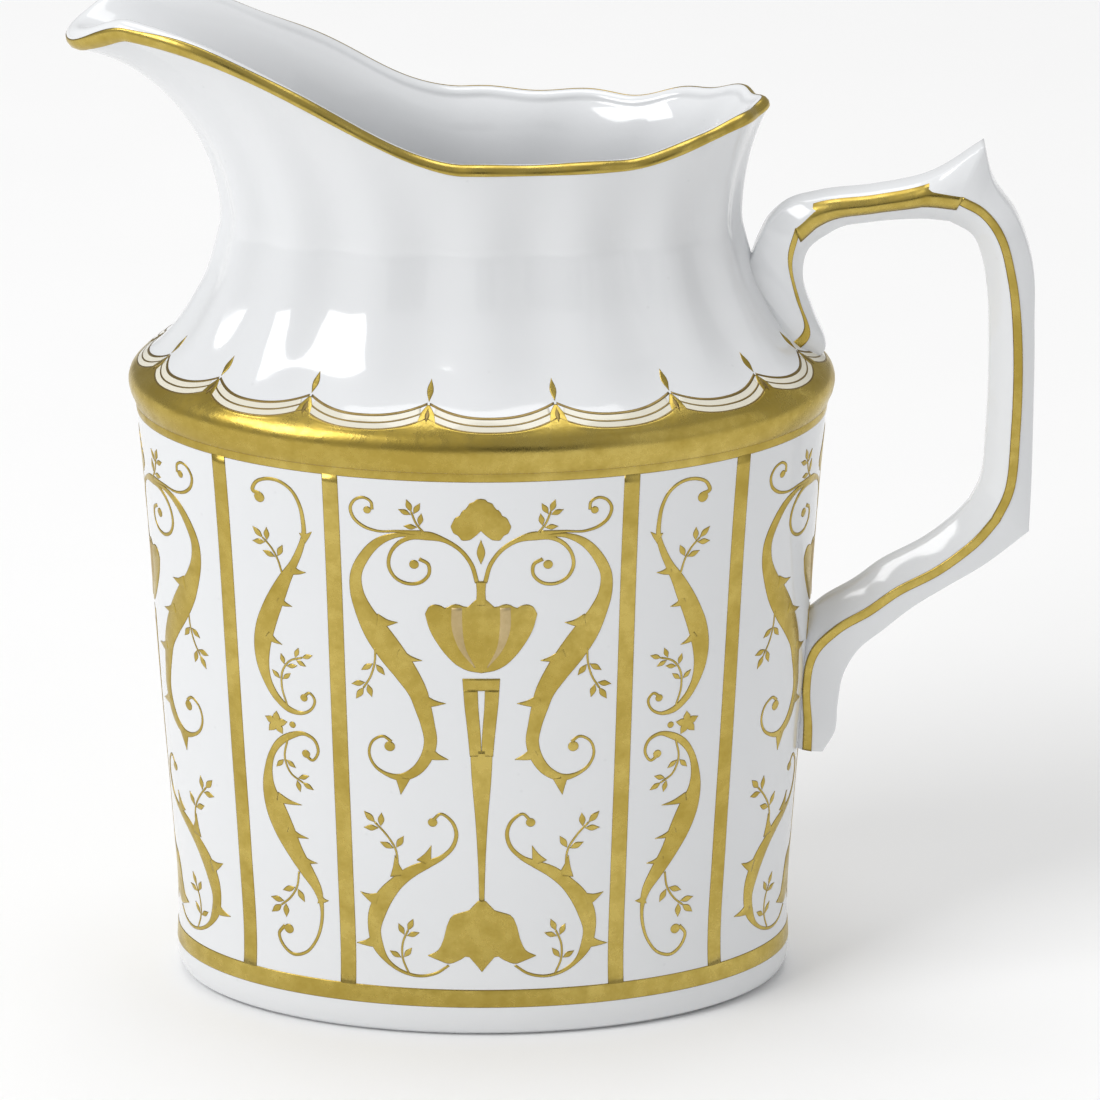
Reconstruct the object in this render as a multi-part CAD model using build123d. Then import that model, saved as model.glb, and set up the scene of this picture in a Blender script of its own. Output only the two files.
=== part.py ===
from build123d import *
from functools import cache
import math
import os

# Porcelain cream jug. Millimetres, +Z up, the spout towards -X and the handle towards +X.
# Shapes are worked out about the upright axis of the oval body, and moved at the end so that
# the origin is the centre of the whole jug's box, at the level of the foot.

# Driving dimensions
FOOT_HALF_LENGTH = 35.5
SHOULDER_HALF_LENGTH = 40.3
NECK_HALF_LENGTH = 29.3
BODY_DEPTH_RATIO = 0.62
SHOULDER_DEPTH_GAIN = 1.13
SHOULDER_HEIGHT = 72.8
NECK_HEIGHT = 92.0
WALL = 2.3
RIM_WALL = 1.9
LIP_GAIN = 0.8
RIM_HEIGHT = 103.1
SPOUT_RISE = 14.4
SPOUT_SAG = 1.2
SPOUT_DROOP = 3.8
HANDLE_SIDE_RISE = 3.4
SPOUT_REACH = 45.9
RIM_HALF_DEPTH = 14.0
RIM_HANDLE_REACH = 32.4
FLUTES = 16
FLUTE_DEPTH = 0.35
RIM_WAVE = 0.3
FLOOR_HEIGHT = 4.2
FOOT_RING_WIDTH = 4.0
FOOT_RECESS = 1.4
GILD = 0.12
GILD_SEAT = 0.02
RIM_STEP = 15
FLARE_SHARES = (0.2, 0.4, 0.6, 0.8)
RIM_GILD_TURN = 60
RIM_GILD_SHARE = 0.96
SHOULDER_BAND = (69.2, 74.4)
FOOT_BAND = (3.6, 5.8)
BAR_WIDTH = 1.85
BAR_PLACES = (-0.756, -0.434, 0.434, 0.756)
LIMB_WIDTH = 5.2
CRUMB = 0.05
RING_POINTS = 6 * FLUTES
RING_GAP = 3.5

# Half-length of the outside at each height, from the edge of the foot to the narrow of the neck
OUTSIDE = [
    (0.0, FOOT_HALF_LENGTH - 1.5),
    (0.6, FOOT_HALF_LENGTH - 0.5),
    (2.4, FOOT_HALF_LENGTH),
    (8.2, FOOT_HALF_LENGTH - 0.2),
    (20.5, FOOT_HALF_LENGTH + 0.5),
    (33.0, FOOT_HALF_LENGTH + 1.4),
    (45.0, FOOT_HALF_LENGTH + 2.2),
    (57.6, FOOT_HALF_LENGTH + 3.0),
    (67.5, FOOT_HALF_LENGTH + 3.8),
    (70.4, SHOULDER_HALF_LENGTH - 0.7),
    (SHOULDER_HEIGHT - 0.9, SHOULDER_HALF_LENGTH - 0.12),
    (SHOULDER_HEIGHT, SHOULDER_HALF_LENGTH),
    (SHOULDER_HEIGHT + 0.9, SHOULDER_HALF_LENGTH - 0.2),
    (SHOULDER_HEIGHT + 2.1, SHOULDER_HALF_LENGTH - 1.0),
    (77.2, SHOULDER_HALF_LENGTH - 3.7),
    (79.8, SHOULDER_HALF_LENGTH - 6.0),
    (82.4, NECK_HALF_LENGTH + 3.4),
    (85.8, NECK_HALF_LENGTH + 1.7),
    (NECK_HEIGHT, NECK_HALF_LENGTH),
]

# Half-length of the inside at each height, from the flat of the floor to the narrow of the neck
INSIDE = [
    (FLOOR_HEIGHT, FOOT_HALF_LENGTH - 8.0),
    (FLOOR_HEIGHT + 0.8, FOOT_HALF_LENGTH - 4.5),
    (FLOOR_HEIGHT + 3.6, FOOT_HALF_LENGTH - 2.6),
    (20.5, FOOT_HALF_LENGTH + 0.5 - WALL),
    (33.0, FOOT_HALF_LENGTH + 1.4 - WALL),
    (45.0, FOOT_HALF_LENGTH + 2.2 - WALL),
    (57.6, FOOT_HALF_LENGTH + 3.0 - WALL),
    (67.5, FOOT_HALF_LENGTH + 3.6 - WALL),
    (SHOULDER_HEIGHT - 1.2, SHOULDER_HALF_LENGTH - 1.3 - WALL),
    (76.0, SHOULDER_HALF_LENGTH - 3.8 - WALL),
    (79.8, SHOULDER_HALF_LENGTH - 6.8 - WALL),
    (85.8, NECK_HALF_LENGTH + 1.2 - WALL),
    (NECK_HEIGHT, NECK_HALF_LENGTH - WALL),
]


def ease(value):
    """0 below 0, 1 above 1, and a smooth step between."""
    value = min(max(value, 0.0), 1.0)
    return value * value * (3 - 2 * value)


def slope(before, after):
    """The slope between two slopes that keeps a curve from overshooting its stations."""
    return 0.0 if before * after <= 0 else 2 * before * after / (before + after)


def filled_in(stations, gap=RING_GAP):
    """The stations with more between them on a smooth curve, so that none are further apart than gap."""
    steps = list(zip(stations, stations[1:]))
    rates = [(after[1] - before[1]) / (after[0] - before[0]) for before, after in steps]
    slopes = [rates[0]] + [slope(*pair) for pair in zip(rates, rates[1:])] + [rates[-1]]
    filled = []
    for i, ((low, start), (high, end)) in enumerate(steps):
        count = math.ceil((high - low) / gap)
        for t in (n / count for n in range(count)):
            bend = (slopes[i] * (1 - t) - slopes[i + 1] * t) * (high - low) * t * (1 - t)
            filled.append((low + (high - low) * t, start + (end - start) * ease(t) + bend))
    return filled + [stations[-1]]


def half_depth(half_length, height):
    """Half-depth of the oval: in proportion below the shoulder, drawn in a little faster above it."""
    if height <= SHOULDER_HEIGHT:
        return BODY_DEPTH_RATIO * half_length
    inset = SHOULDER_HALF_LENGTH - half_length
    return BODY_DEPTH_RATIO * SHOULDER_HALF_LENGTH - SHOULDER_DEPTH_GAIN * inset


def flute(angle, height):
    """How far the soft flutes stand out of the oval: nothing below the shoulder, full on the neck."""
    rise = ease((height - SHOULDER_HEIGHT) / (NECK_HEIGHT - 12 - SHOULDER_HEIGHT))
    return FLUTE_DEPTH * rise * math.cos(FLUTES * angle)


def oval_point(angle, half_length, height, outside=0.0):
    """A point on the oval at this height, moved out along the oval's own normal."""
    depth = half_depth(half_length, height)
    normal = Vector(math.cos(angle) / half_length, math.sin(angle) / depth).normalized()
    flat = Vector(half_length * math.cos(angle), depth * math.sin(angle), height)
    return flat + normal * outside


def spout_share(angle):
    """1 along the spout, easing to 0 at the front, back and handle side."""
    return max(0.0, -math.cos(angle)) ** 3


def rim_crest(x):
    """Height of the top of the rim above the point x of the jug's length."""
    rise = ease(((-x - 2) / 39) ** 0.85) if x < -2 else 0.0
    droop = ease((-x - 40) / 8)
    handle_rise = ease((x - 16) / 17)
    return RIM_HEIGHT + SPOUT_RISE * rise - SPOUT_DROOP * droop + HANDLE_SIDE_RISE * handle_rise


def rim_wall(angle):
    """Thickness of the rim, a little more along the spout."""
    return RIM_WALL + LIP_GAIN * spout_share(angle)


def rim_frame(angle):
    """The outer edge of the rim at this angle, the way in through the wall and the way on past the edge."""
    spout = spout_share(angle)
    wave = math.cos(FLUTES * angle) * RIM_WAVE * (1 - spout)
    reach = SPOUT_REACH if math.cos(angle) < 0 else RIM_HANDLE_REACH
    out = Vector(math.cos(angle) / reach, math.sin(angle) / RIM_HALF_DEPTH).normalized()
    away = Vector(math.cos(angle) * reach, math.sin(angle) * RIM_HALF_DEPTH) + out * wave
    tilt = math.radians(78) * spout
    inward = out * -math.cos(tilt) + Vector(0, 0, math.sin(tilt))
    onward = out * math.sin(tilt) + Vector(0, 0, math.cos(tilt))
    crest = (inward + onward) * (rim_wall(angle) / 2)
    edge = Vector(away.X, away.Y, rim_crest(away.X) + wave / 2 - crest.Z)
    return edge, inward, onward


def flare_point(angle, share, wall):
    """A point of the flare, share of the way from the narrow of the neck to the rim. wall is how deep
    in the wall it lies: 0 on the outside and 1 on the inside."""
    edge, inward, _ = rim_frame(angle)
    spout = spout_share(angle)
    neck = oval_point(angle, NECK_HALF_LENGTH - WALL * wall, NECK_HEIGHT)
    rim = edge + inward * (rim_wall(angle) * wall)
    height = edge.Z - NECK_HEIGHT
    out = Vector(edge.X - neck.X, edge.Y - neck.Y)
    low = neck + Vector(0, 0, height * (0.4 + 0.05 * spout))
    drop = 0.25 * height * (1 - spout) + SPOUT_SAG * spout
    high = rim - out * 0.56 - Vector(0, 0, drop)
    rest = 1 - share
    on_curve = (
        neck * rest**3
        + low * (3 * rest**2 * share)
        + high * (3 * rest * share**2)
        + rim * share**3
    )
    normal = Vector(math.cos(angle) / NECK_HALF_LENGTH, math.sin(angle) / RIM_HALF_DEPTH).normalized()
    fade = rest**2 * (1 + 2 * share)
    return on_curve + normal * (flute(angle, NECK_HEIGHT) * fade * (1 - wall))


def ring(point_at):
    """A closed smooth curve through point_at(angle), taken at equal steps round the oval."""
    steps = [i / RING_POINTS for i in range(RING_POINTS + 1)]
    points = [point_at(2 * math.pi * step) for step in steps[:-1]]
    return Wire([Edge.make_spline(points, periodic=True, parameters=steps)])


def outside_ring(height, half_length, outside=0.0):
    return ring(lambda a: oval_point(a, half_length, height, outside + flute(a, height)))


def inside_ring(height, half_length):
    return ring(lambda a: oval_point(a, half_length, height))


def flare_rings(shares, wall):
    return [ring(lambda a, s=share: flare_point(a, s, wall)) for share in shares]


def rim_ring(turn, lift=0.0):
    """A ring round the rounded edge of the rim. turn goes from 0 degrees on the outside, through 90 at
    the crest, to 180 on the inside, and lift is the distance off the porcelain."""
    side, up = math.cos(math.radians(turn)), math.sin(math.radians(turn))

    def rim_point(angle):
        edge, inward, onward = rim_frame(angle)
        radius = rim_wall(angle) / 2
        return edge + inward * (radius - side * (radius + lift)) + onward * (up * (radius + lift))

    return ring(rim_point)


def under_rim_ring(lift=0.0):
    """A ring on the outside a little below the rounded edge, this far off the porcelain."""
    return ring(lambda a: flare_point(a, RIM_GILD_SHARE, 0) - rim_frame(a)[1] * lift)


def foot_recess():
    """The hollow under the base that leaves the jug standing on a ring."""
    length = FOOT_HALF_LENGTH - 1.5 - FOOT_RING_WIDTH
    depth = BODY_DEPTH_RATIO * (FOOT_HALF_LENGTH - 1.5) - FOOT_RING_WIDTH
    return extrude(Ellipse(length, depth), FOOT_RECESS, taper=20)


def rim_rings(last_turn, lift=0.0):
    """Rings from just below the rounded edge on the outside, over it to this turn."""
    turns = range(0, last_turn + 1, RIM_STEP)
    return [under_rim_ring(lift)] + [rim_ring(turn, lift) for turn in turns]


def skin(rings, ruled=False):
    """Faces through a row of rings, smooth, or straight from ring to ring."""
    return Shell.make_loft(rings, ruled).faces()


def build_body():
    """The cast porcelain vessel with its spout: the outside, the rounded rim and the inside."""
    rim = rim_rings(180)
    outside = [outside_ring(*station) for station in filled_in(OUTSIDE)]
    outside += flare_rings(FLARE_SHARES, 0) + [rim[0]]
    inside = [rim[-1]] + flare_rings(reversed(FLARE_SHARES), 1)
    inside += [inside_ring(*station) for station in reversed(filled_in(INSIDE))]
    faces = skin(outside) + skin(rim, ruled=True) + skin(inside)
    return Solid(Shell(faces + [Face(outside[0]), Face(inside[-1])])) - foot_recess()


def rim_gilding():
    """The gold line round the outer edge of the rim."""
    top, seat = rim_rings(RIM_GILD_TURN, GILD), rim_rings(RIM_GILD_TURN, GILD_SEAT)
    edges = [[top[0], seat[0]], [top[-1], seat[-1]]]
    faces = [face for rings in [top, seat] + edges for face in skin(rings, ruled=True)]
    return [Solid(Shell(faces))]


@cache
def filled_body(outside):
    """The body below the narrow of the neck, without its hollow and moved out by this much."""
    return Solid.make_loft([outside_ring(*station, outside) for station in filled_in(OUTSIDE)])


# The handle, in the plane of the jug's length: (outer x, outer z, inner x, inner z, half-thickness)
# at each station along it. It rises off the shoulder, runs out to a pointed thumb rest, comes down
# the grip to a sharp kick and sweeps back to a tail that lies on the body.
HANDLE_RISE = [
    (28.0, 85.0, 36.5, 73.5, 2.3),
    (30.4, 87.0, 39.3, 76.6, 2.4),
    (31.4, 89.4, 38.0, 80.4, 2.5),
    (32.7, 92.0, 36.7, 84.6, 2.6),
    (34.8, 93.9, 37.0, 88.0, 2.7),
]
HANDLE_TOP = [
    HANDLE_RISE[-1],
    (38.5, 95.0, 39.8, 90.6, 2.7),
    (44.9, 95.8, 44.3, 91.8, 2.7),
    (50.9, 97.2, 49.5, 92.2, 2.7),
    (57.1, 101.2, 53.2, 91.9, 2.6),
]
HANDLE_GRIP = [
    HANDLE_TOP[-1],
    (58.3, 96.6, 55.7, 90.4, 2.6),
    (61.0, 92.4, 56.9, 87.9, 2.7),
    (62.7, 87.3, 57.6, 83.8, 2.7),
    (63.1, 79.0, 57.9, 77.5, 2.7),
    (63.1, 67.0, 57.7, 67.0, 2.7),
    (63.0, 60.0, 57.2, 60.6, 2.7),
    (62.8, 54.2, 55.9, 57.6, 2.6),
]
HANDLE_SWEEP = [
    HANDLE_GRIP[-1],
    (57.6, 50.0, 53.6, 55.1, 2.7),
    (53.3, 47.3, 50.4, 52.6, 2.7),
    (49.5, 44.8, 45.9, 50.1, 2.7),
    (46.2, 42.0, 42.6, 47.6, 2.6),
    (43.4, 39.6, 38.8, 45.2, 2.6),
    (41.7, 36.6, 35.8, 42.0, 2.5),
    (41.0, 32.6, 34.6, 37.0, 2.3),
    (40.7, 29.2, 34.4, 31.4, 1.9),
    (39.4, 26.6, 34.2, 27.6, 1.2),
]

HANDLE = [HANDLE_RISE, HANDLE_TOP, HANDLE_GRIP, HANDLE_SWEEP]

# Across the handle, from its inner edge (0) to its outer edge (1): the flat ridge, and how thick the
# two edges are beside the ridge.
RIDGE_FROM = 0.56
RIDGE_TO = 0.73
INNER_EDGE = 0.35
OUTER_EDGE = 0.55


def handle_corners(station, corners):
    """Points of the handle's section at a station, from places across it and shares of its half-thickness.
    Where the limb is broader than usual, the ridge keeps its distance from the inner edge."""
    outer_x, outer_z, inner_x, inner_z, half = station
    narrowing = min(1, LIMB_WIDTH / math.hypot(outer_x - inner_x, outer_z - inner_z))
    points = []
    for across, side in corners:
        share = across if across >= 1 else across * narrowing
        x = inner_x + (outer_x - inner_x) * share
        z = inner_z + (outer_z - inner_z) * share
        points.append(Vector(x, half * side, z))
    return points


def limb_solid(limbs, corners):
    """A solid whose section has these corners, carried smoothly along each limb, with a crease between."""
    faces = []
    for limb in limbs:
        sections = [handle_corners(station, corners) for station in limb]
        rails = [Edge.make_spline(list(points)) for points in zip(*sections)]
        faces += [Face.make_surface_from_curves(a, b) for a, b in zip(rails, rails[1:] + rails[:1])]
    for station in (limbs[0][0], limbs[-1][-1]):
        faces.append(Face(Wire.make_polygon(handle_corners(station, corners), close=True)))
    return Solid(Shell(faces))


def build_handle(body):
    """The cast handle, cut to sit on the outside of the body."""
    corners = [
        (0, -INNER_EDGE),
        (RIDGE_FROM, -1),
        (RIDGE_TO, -1),
        (1, -OUTER_EDGE),
        (1, OUTER_EDGE),
        (RIDGE_TO, 1),
        (RIDGE_FROM, 1),
        (0, INNER_EDGE),
    ]
    return outside_body(limb_solid(HANDLE, corners), body)


def outside_body(shape, body):
    """What is left of a shape outside the vessel, as a list of solids with no crumbs."""
    rest = shape - filled_body(-WALL / 2) - body
    return [solid for solid in rest.solids() if solid.volume > CRUMB]


def gilded_band(low, high, body):
    """A gold band right round the body between two heights."""
    size = 3 * SHOULDER_HALF_LENGTH
    slab = Pos(0, 0, (low + high) / 2) * Box(size, size, high - low)
    return outside_body(filled_body(GILD) & slab, body)


def panel_bar(across, side, body):
    """An upright gold bar between two panels. across is its place along the length, as a share of
    the half-length, and side is -1 on the front and 1 on the back."""
    angle = math.acos(across)
    pace = math.hypot(math.sin(angle), BODY_DEPTH_RATIO * math.cos(angle)) * SHOULDER_HALF_LENGTH
    spread = BAR_WIDTH / pace / 2
    reach = 2 * SHOULDER_HALF_LENGTH
    edges = [
        (reach * math.cos(a), side * reach * BODY_DEPTH_RATIO * math.sin(a))
        for a in (angle - spread, angle + spread)
    ]
    wedge = extrude(make_face(Polyline((0, 0), *edges, close=True)), SHOULDER_BAND[0] - FOOT_BAND[1])
    return outside_body(filled_body(GILD) & (Pos(0, 0, FOOT_BAND[1]) * wedge), body)


def handle_line(side, body):
    """The gold line along the ridge of one face of the handle, broken by the gilded thumb rest."""
    lift = side * (1 + GILD / HANDLE_TOP[-1][-1])
    corners = [(RIDGE_FROM, side), (RIDGE_FROM, lift), (RIDGE_TO, lift), (RIDGE_TO, side)]
    stretches = [[HANDLE_RISE], [HANDLE_GRIP, HANDLE_SWEEP]]
    return [solid for limbs in stretches for solid in outside_body(limb_solid(limbs, corners), body)]


def thumb_rest_gilding(body):
    """The gold all over the top of the handle, from beside the neck to the point of the thumb rest."""
    lift = 1 + GILD / HANDLE_TOP[-1][-1]
    over = [(RIDGE_FROM, 1), (RIDGE_FROM, lift), (RIDGE_TO, lift), (1 + GILD / 5, OUTER_EDGE + 0.03)]
    under = [(1, OUTER_EDGE), (RIDGE_TO, 1)]
    corners = over + [(across, -up) for across, up in reversed(over)]
    corners += [(across, -up) for across, up in reversed(under)] + under
    return outside_body(limb_solid([HANDLE_TOP], corners), body)


def build_nodes():
    """Every piece by name, about the axis of the body, as a list of solids each."""
    body = build_body()
    nodes = {
        "body": [body],
        "handle": build_handle(body),
        "rim_gilding": rim_gilding(),
        "shoulder_gilding": gilded_band(*SHOULDER_BAND, body),
        "foot_gilding": gilded_band(*FOOT_BAND, body),
        "thumb_rest_gilding": thumb_rest_gilding(body),
        "handle_line_front": handle_line(-1, body),
        "handle_line_back": handle_line(1, body),
    }
    places = [(across, side) for side in (-1, 1) for across in BAR_PLACES]
    for number, (across, side) in enumerate(places, 1):
        nodes[f"panel_bar_{number}"] = panel_bar(across, side, body)
    return nodes


def main():
    nodes = build_nodes()
    box = Compound([solid for solids in nodes.values() for solid in solids]).bounding_box()
    to_origin = Pos(-box.center().X, -box.center().Y, -box.min.Z)
    os.makedirs("parts", exist_ok=True)
    for name, solids in nodes.items():
        export_step(to_origin * Compound(solids), f"parts/{name}.step")


main()
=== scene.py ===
import math

import bpy
import bmesh
import numpy as np
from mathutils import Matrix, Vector


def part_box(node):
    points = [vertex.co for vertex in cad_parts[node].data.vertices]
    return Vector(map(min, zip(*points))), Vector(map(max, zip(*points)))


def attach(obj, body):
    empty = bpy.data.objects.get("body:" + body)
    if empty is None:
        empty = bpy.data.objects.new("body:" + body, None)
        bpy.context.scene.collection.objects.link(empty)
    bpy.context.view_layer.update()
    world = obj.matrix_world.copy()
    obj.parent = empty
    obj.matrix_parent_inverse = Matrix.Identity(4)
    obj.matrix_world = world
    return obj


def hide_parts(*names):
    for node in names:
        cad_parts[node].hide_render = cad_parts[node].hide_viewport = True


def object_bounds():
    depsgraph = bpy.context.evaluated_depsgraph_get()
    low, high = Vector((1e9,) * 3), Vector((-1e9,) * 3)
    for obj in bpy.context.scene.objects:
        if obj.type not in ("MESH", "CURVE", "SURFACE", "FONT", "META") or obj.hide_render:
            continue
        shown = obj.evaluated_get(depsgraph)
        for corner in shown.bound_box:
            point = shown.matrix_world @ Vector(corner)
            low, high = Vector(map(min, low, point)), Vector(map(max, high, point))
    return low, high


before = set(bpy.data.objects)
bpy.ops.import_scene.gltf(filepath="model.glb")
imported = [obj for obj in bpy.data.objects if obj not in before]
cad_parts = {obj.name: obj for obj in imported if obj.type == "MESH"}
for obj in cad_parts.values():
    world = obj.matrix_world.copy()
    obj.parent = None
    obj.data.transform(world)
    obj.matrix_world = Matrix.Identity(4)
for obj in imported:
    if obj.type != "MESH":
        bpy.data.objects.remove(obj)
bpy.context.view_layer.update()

# The shapes below are worked out in millimetres about the upright axis of the oval body, and moved
# to the frame when a mesh is made. The frame gives the axis, the foot, the shoulder and the spout.
MM = 1000.0


def node_box(name):
    """The lowest and highest corners of a CAD node, in millimetres."""
    low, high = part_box(name)
    return np.array(low) * MM, np.array(high) * MM


foot_low, foot_high = node_box("foot_gilding")
shoulder_low, shoulder_high = node_box("shoulder_gilding")

# The same driving sizes as the CAD model's
AXIS_X = (foot_low[0] + foot_high[0]) / 2
FOOT_BAND = (foot_low[2], foot_high[2])
SHOULDER_BAND = (shoulder_low[2], shoulder_high[2])
FLUTES = 16
FLUTE_DEPTH = 0.35
RIM_WAVE = 0.3
BODY_DEPTH_RATIO = 0.62
SHOULDER_DEPTH_GAIN = 1.13
FOOT_HALF_LENGTH = 35.5
SHOULDER_HALF_LENGTH = 40.3
NECK_HALF_LENGTH = 29.3
SHOULDER_HEIGHT = 72.8
NECK_HEIGHT = 92.0
WALL = 2.3
RIM_WALL = 1.9
LIP_GAIN = 0.8
RIM_HEIGHT = 103.1
SPOUT_RISE = 14.4
SPOUT_SAG = 1.2
SPOUT_DROOP = 3.8
HANDLE_SIDE_RISE = 3.4
SPOUT_REACH = 45.9
RIM_HALF_DEPTH = 14.0
RIM_HANDLE_REACH = 32.4
FLOOR_HEIGHT = 4.2
FOOT_RING_WIDTH = 4.0
FOOT_RECESS = 1.4
BAR_WIDTH = 1.85
BAR_PLACES = (-0.756, -0.434, 0.434, 0.756)
LIMB_WIDTH = 5.2
RIDGE_FROM = 0.56
RIDGE_TO = 0.73
INNER_EDGE = 0.35
OUTER_EDGE = 0.55

# Sizes of the painted work: how far gold stands off the glaze, how deep its base is set in, and how
# wide the edge of a stroke is, which is coloured darker as painted shade.
LIFT = 0.06
MARGIN_LIFT = 0.03
SET_IN = -0.08
MARGIN = 0.11
AROUND = 20 * FLUTES

OUTSIDE = [
    (0.0, FOOT_HALF_LENGTH - 1.5),
    (0.6, FOOT_HALF_LENGTH - 0.5),
    (2.4, FOOT_HALF_LENGTH),
    (8.2, FOOT_HALF_LENGTH - 0.2),
    (20.5, FOOT_HALF_LENGTH + 0.5),
    (33.0, FOOT_HALF_LENGTH + 1.4),
    (45.0, FOOT_HALF_LENGTH + 2.2),
    (57.6, FOOT_HALF_LENGTH + 3.0),
    (67.5, FOOT_HALF_LENGTH + 3.8),
    (70.4, SHOULDER_HALF_LENGTH - 0.7),
    (SHOULDER_HEIGHT - 0.9, SHOULDER_HALF_LENGTH - 0.12),
    (SHOULDER_HEIGHT, SHOULDER_HALF_LENGTH),
    (SHOULDER_HEIGHT + 0.9, SHOULDER_HALF_LENGTH - 0.2),
    (SHOULDER_HEIGHT + 2.1, SHOULDER_HALF_LENGTH - 1.0),
    (77.2, SHOULDER_HALF_LENGTH - 3.7),
    (79.8, SHOULDER_HALF_LENGTH - 6.0),
    (82.4, NECK_HALF_LENGTH + 3.4),
    (85.8, NECK_HALF_LENGTH + 1.7),
    (NECK_HEIGHT, NECK_HALF_LENGTH),
]
INSIDE = [
    (FLOOR_HEIGHT, FOOT_HALF_LENGTH - 8.0),
    (FLOOR_HEIGHT + 0.8, FOOT_HALF_LENGTH - 4.5),
    (FLOOR_HEIGHT + 3.6, FOOT_HALF_LENGTH - 2.6),
    (20.5, FOOT_HALF_LENGTH + 0.5 - WALL),
    (33.0, FOOT_HALF_LENGTH + 1.4 - WALL),
    (45.0, FOOT_HALF_LENGTH + 2.2 - WALL),
    (57.6, FOOT_HALF_LENGTH + 3.0 - WALL),
    (67.5, FOOT_HALF_LENGTH + 3.6 - WALL),
    (SHOULDER_HEIGHT - 1.2, SHOULDER_HALF_LENGTH - 1.3 - WALL),
    (76.0, SHOULDER_HALF_LENGTH - 3.8 - WALL),
    (79.8, SHOULDER_HALF_LENGTH - 6.8 - WALL),
    (85.8, NECK_HALF_LENGTH + 1.2 - WALL),
    (NECK_HEIGHT, NECK_HALF_LENGTH - WALL),
]

# The handle, in the plane of the jug's length: (outer x, outer z, inner x, inner z, half-thickness)
# at each station along it. It rises off the shoulder, runs out to a pointed thumb rest, comes down
# the grip to a sharp kick and sweeps back to a tail that lies on the body.
HANDLE_RISE = [
    (28.0, 85.0, 36.5, 73.5, 2.3),
    (30.4, 87.0, 39.3, 76.6, 2.4),
    (31.4, 89.4, 38.0, 80.4, 2.5),
    (32.7, 92.0, 36.7, 84.6, 2.6),
    (34.8, 93.9, 37.0, 88.0, 2.7),
]
HANDLE_TOP = [
    HANDLE_RISE[-1],
    (38.5, 95.0, 39.8, 90.6, 2.7),
    (44.9, 95.8, 44.3, 91.8, 2.7),
    (50.9, 97.2, 49.5, 92.2, 2.7),
    (57.1, 101.2, 53.2, 91.9, 2.6),
]
HANDLE_GRIP = [
    HANDLE_TOP[-1],
    (58.3, 96.6, 55.7, 90.4, 2.6),
    (61.0, 92.4, 56.9, 87.9, 2.7),
    (62.7, 87.3, 57.6, 83.8, 2.7),
    (63.1, 79.0, 57.9, 77.5, 2.7),
    (63.1, 67.0, 57.7, 67.0, 2.7),
    (63.0, 60.0, 57.2, 60.6, 2.7),
    (62.8, 54.2, 55.9, 57.6, 2.6),
]
HANDLE_SWEEP = [
    HANDLE_GRIP[-1],
    (57.6, 50.0, 53.6, 55.1, 2.7),
    (53.3, 47.3, 50.4, 52.6, 2.7),
    (49.5, 44.8, 45.9, 50.1, 2.7),
    (46.2, 42.0, 42.6, 47.6, 2.6),
    (43.4, 39.6, 38.8, 45.2, 2.6),
    (41.7, 36.6, 35.8, 42.0, 2.5),
    (41.0, 32.6, 34.6, 37.0, 2.3),
    (40.7, 29.2, 34.4, 31.4, 1.9),
    (39.4, 26.6, 34.2, 27.6, 1.2),
]


# ---------------------------------------------------------------- curves and the jug's surface


def ease(value):
    """0 below 0, 1 above 1, and a smooth step between."""
    value = np.clip(value, 0.0, 1.0)
    return value * value * (3 - 2 * value)


def along(stations, at):
    """The value at each place on a smooth curve through (place, value) stations, with no overshoot."""
    places, values = np.array(stations, float).T
    rates = np.diff(values) / np.diff(places)
    product = rates[:-1] * rates[1:]
    total = rates[:-1] + rates[1:]
    middle = np.where(product > 0, 2 * product / np.where(total == 0, 1, total), 0.0)
    slopes = np.concatenate([rates[:1], middle, rates[-1:]])
    at = np.clip(np.asarray(at, float), places[0], places[-1])
    i = np.clip(np.searchsorted(places, at, side="right") - 1, 0, len(rates) - 1)
    gap = places[i + 1] - places[i]
    t = (at - places[i]) / gap
    bend = (slopes[i] * (1 - t) - slopes[i + 1] * t) * gap * t * (1 - t)
    return values[i] + (values[i + 1] - values[i]) * ease(t) + bend


def half_depth(half_length, height):
    """Half-depth of the oval: in proportion below the shoulder, drawn in a little faster above it."""
    inset = SHOULDER_HALF_LENGTH - half_length
    above = BODY_DEPTH_RATIO * SHOULDER_HALF_LENGTH - SHOULDER_DEPTH_GAIN * inset
    return np.where(height <= SHOULDER_HEIGHT, BODY_DEPTH_RATIO * half_length, above)


def flute(angle, height):
    """How far the soft flutes stand out of the oval: nothing below the shoulder, full on the neck."""
    rise = ease((height - SHOULDER_HEIGHT) / (NECK_HEIGHT - 12 - SHOULDER_HEIGHT))
    return FLUTE_DEPTH * rise * np.cos(FLUTES * angle)


def stack(x, y, z):
    """Points from separate coordinates, which may be single numbers."""
    return np.stack(np.broadcast_arrays(x, y, z), axis=-1).astype(float)


def flat_normal(angle, length, depth):
    """The oval's own outward direction, in its plane."""
    out = stack(np.cos(angle) / length, np.sin(angle) / depth, 0.0)
    return out / np.linalg.norm(out, axis=-1, keepdims=True)


def oval_point(angle, half_length, height, outside=0.0):
    """A point on the oval at this height, moved out along the oval's own normal."""
    depth = half_depth(half_length, height)
    flat = stack(half_length * np.cos(angle), depth * np.sin(angle), height)
    return flat + flat_normal(angle, half_length, depth) * np.asarray(outside)[..., None]


def body_point(angle, height, lift=0.0):
    """A point on the outside of the body, lift off the porcelain."""
    half_length = along(OUTSIDE, height)
    return oval_point(angle, half_length, height, lift + flute(angle, height))


def spout_share(angle):
    """1 along the spout, easing to 0 at the front, back and handle side."""
    return np.maximum(0.0, -np.cos(angle)) ** 3


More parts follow.
